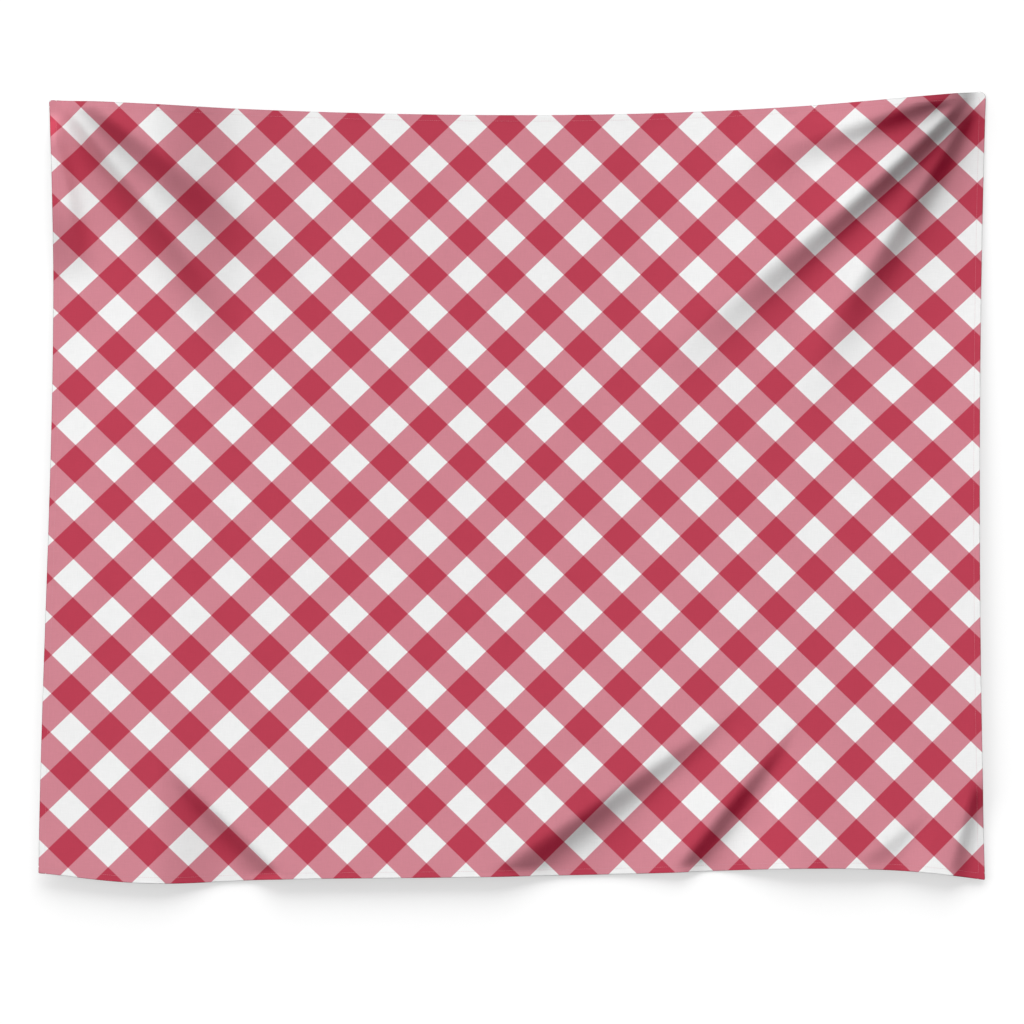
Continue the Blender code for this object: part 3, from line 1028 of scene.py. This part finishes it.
def one_sided(name, tint, glow=0.0):
    """Matt paint that is clear from behind, so that the back of the cloth can be looked at."""
    nodes = Nodes(name)
    nodes.set_surface(
        Base_Color=opaque(tint), Roughness=1.0, Specular_IOR_Level=0.0,
        Emission_Color=(1.0, 1.0, 1.0, 1.0), Emission_Strength=glow,
    )
    behind = nodes.value(nodes.add("ShaderNodeNewGeometry"), "Backfacing")
    clear = nodes.add("ShaderNodeBsdfTransparent")
    choice = nodes.add("ShaderNodeMixShader", None, Fac=behind)
    nodes.tree.links.new(nodes.shader.outputs[0], choice.inputs[1])
    nodes.tree.links.new(clear.outputs[0], choice.inputs[2])
    output = nodes.tree.nodes["Material Output"]
    nodes.tree.links.new(choice.outputs[0], output.inputs["Surface"])
    return nodes.material


def make_stage(stage):
    """A plain wall and a plain floor, which neither block light nor throw it on the cloth."""
    wide, depth = WALL_HALF_WIDTH, FLOOR_HALF_DEPTH
    low = stage.floor_height
    y = CAD_BOX[1][1] + WALL_GAP
    upright = [(-wide, y, low), (wide, y, low), (wide, y, WALL_TOP), (-wide, y, WALL_TOP)]
    level = [(-wide, -depth, low), (wide, -depth, low), (wide, depth, low), (-wide, depth, low)]
    wall = flat_rectangle("wall", upright, one_sided("wall_paint", stage.wall, stage.glow))
    floor = flat_rectangle("floor", level, one_sided("floor_paint", stage.floor))
    for plane in (wall, floor):
        plane.visible_shadow = False
        plane.visible_diffuse = False


def make_sun(name, strength, way, softness):
    """A sun lamp that shines from the way it is given towards the middle of the cloth."""
    light = bpy.data.lights.new(name, "SUN")
    light.energy = strength
    light.angle = softness
    lamp = bpy.data.objects.new(name, light)
    lamp.location = Vector(way) * LAMP_DISTANCE
    lamp.rotation_euler = Vector(way).to_track_quat("Z", "Y").to_euler()
    bpy.context.scene.collection.objects.link(lamp)


def make_lights(stage):
    """A broad soft key from above, a weaker light from the left, and an even light all round."""
    make_sun("key", stage.key, stage.key_way, stage.softness)
    make_sun("side", stage.side, stage.side_way, stage.softness)
    world = bpy.data.worlds.new("studio")
    world.use_nodes = True
    background = world.node_tree.nodes["Background"]
    background.inputs["Color"].default_value = (1.0, 1.0, 1.0, 1.0)
    background.inputs["Strength"].default_value = stage.fill
    bpy.context.scene.world = world


def make_camera(stage):
    """A long lens straight in front of the cloth."""
    lens = bpy.data.cameras.new("camera")
    lens.lens = lens.sensor_width * stage.view_distance / stage.view_width
    camera = bpy.data.objects.new("camera", lens)
    camera.location = (stage.view_across, -stage.view_distance, stage.view_height)
    camera.rotation_euler = (math.pi / 2, 0.0, 0.0)
    bpy.context.scene.collection.objects.link(camera)
    bpy.context.scene.camera = camera


def set_view(stage):
    """Plain colours, with the faint haze of the lens taken off the darkest of them."""
    view = bpy.context.scene.view_settings
    view.view_transform = "Standard"
    view.use_curve_mapping = True
    view.curve_mapping.black_level = [stage.haze] * 3
    view.curve_mapping.update()


# ---- the add-on ----


def shared(name, make, *settings):
    """The material of that name, made once from the settings given."""
    return bpy.data.materials.get(name) or make(name, *settings)


def face_material(scene):
    return shared("gingham_face", cloth_material, scene.cloth_shape, scene.cloth_print)


def reverse_material(scene):
    return shared("white_reverse", cloth_material, scene.cloth_shape, scene.cloth_print, True)


def sewing_material(scene):
    return shared("pale_thread", thread_material, scene.cloth_sewing.thread)


class Step:
    """What the steps share: each builds from the settings of the scene it is run in."""

    def execute(self, context):
        self.build(context.scene)
        return {"FINISHED"}


class GINGHAM_OT_panel(Step, Operator):
    """Hang the printed cloth"""
    bl_idname = "gingham.panel"
    bl_label = "Printed cloth"

    def build(self, scene):
        finishes = (face_material(scene), reverse_material(scene))
        make_panel(scene.cloth_shape, scene.cloth_print, *finishes)


class GINGHAM_OT_hems(Step, Operator):
    """Turn the four hems to the back"""
    bl_idname = "gingham.hems"
    bl_label = "Hems"

    def build(self, scene):
        face = face_material(scene)
        for seed, side in enumerate(SIDES):
            make_hem(scene.cloth_shape, scene.cloth_print, side, face, seed)


class GINGHAM_OT_corners(Step, Operator):
    """Fold the four corners where hems cross"""
    bl_idname = "gingham.corners"
    bl_label = "Corners"

    def build(self, scene):
        face = face_material(scene)
        for right in (False, True):
            for bottom in (False, True):
                make_corner(scene.cloth_shape, scene.cloth_print, right, bottom, face)


class GINGHAM_OT_stitches(Step, Operator):
    """Sew the hems, on the face and on the back"""
    bl_idname = "gingham.stitches"
    bl_label = "Hem stitches"

    def build(self, scene):
        thread = sewing_material(scene)
        for side in SIDES:
            for outward in (-1.0, 1.0):
                make_stitches(scene.cloth_shape, scene.cloth_sewing, side, outward, thread)


class GINGHAM_OT_label(Step, Operator):
    """Sew the blank care label to the back"""
    bl_idname = "gingham.label"
    bl_label = "Care label"

    def build(self, scene):
        satin = satin_material("white_satin", scene.cloth_sewing.label)
        make_label(scene.cloth_shape, scene.cloth_sewing, satin)
        make_label_stitches(scene.cloth_shape, scene.cloth_sewing, sewing_material(scene))


class GINGHAM_OT_stage(Step, Operator):
    """Set up the wall, the floor, the lights and the camera"""
    bl_idname = "gingham.stage"
    bl_label = "Stage"

    def build(self, scene):
        stage = scene.cloth_stage
        make_stage(stage)
        make_lights(stage)
        make_camera(stage)
        set_view(stage)


OPERATORS = (
    GINGHAM_OT_panel,
    GINGHAM_OT_hems,
    GINGHAM_OT_corners,
    GINGHAM_OT_stitches,
    GINGHAM_OT_label,
    GINGHAM_OT_stage,
)

SETTINGS = {
    "cloth_shape": ClothShape,
    "cloth_print": ClothPrint,
    "cloth_sewing": ClothSewing,
    "cloth_stage": ClothStage,
}


class GINGHAM_PT_panel(Panel):
    """Lists the steps that build the cloth"""
    bl_idname = "GINGHAM_PT_panel"
    bl_label = "Gingham cloth"
    bl_space_type = "VIEW_3D"
    bl_region_type = "UI"
    bl_category = "Gingham"

    def draw(self, context):
        for operator in OPERATORS:
            self.layout.operator(operator.bl_idname)
        for name, group in SETTINGS.items():
            box = self.layout.box()
            for entry in group.__annotations__:
                label = entry.replace("_", " ").capitalize()
                box.prop(getattr(context.scene, name), entry, text=label)


def register():
    for kind in (*SETTINGS.values(), *OPERATORS, GINGHAM_PT_panel):
        bpy.utils.register_class(kind)
    for name, group in SETTINGS.items():
        setattr(bpy.types.Scene, name, PointerProperty(type=group))


def unregister():
    for name in SETTINGS:
        delattr(bpy.types.Scene, name)
    for kind in (GINGHAM_PT_panel, *OPERATORS, *SETTINGS.values()):
        bpy.utils.unregister_class(kind)


def main():
    register()
    for operator in OPERATORS:
        group, name = operator.bl_idname.split(".")
        getattr(getattr(bpy.ops, group), name)()


if __name__ == "__main__":
    main()
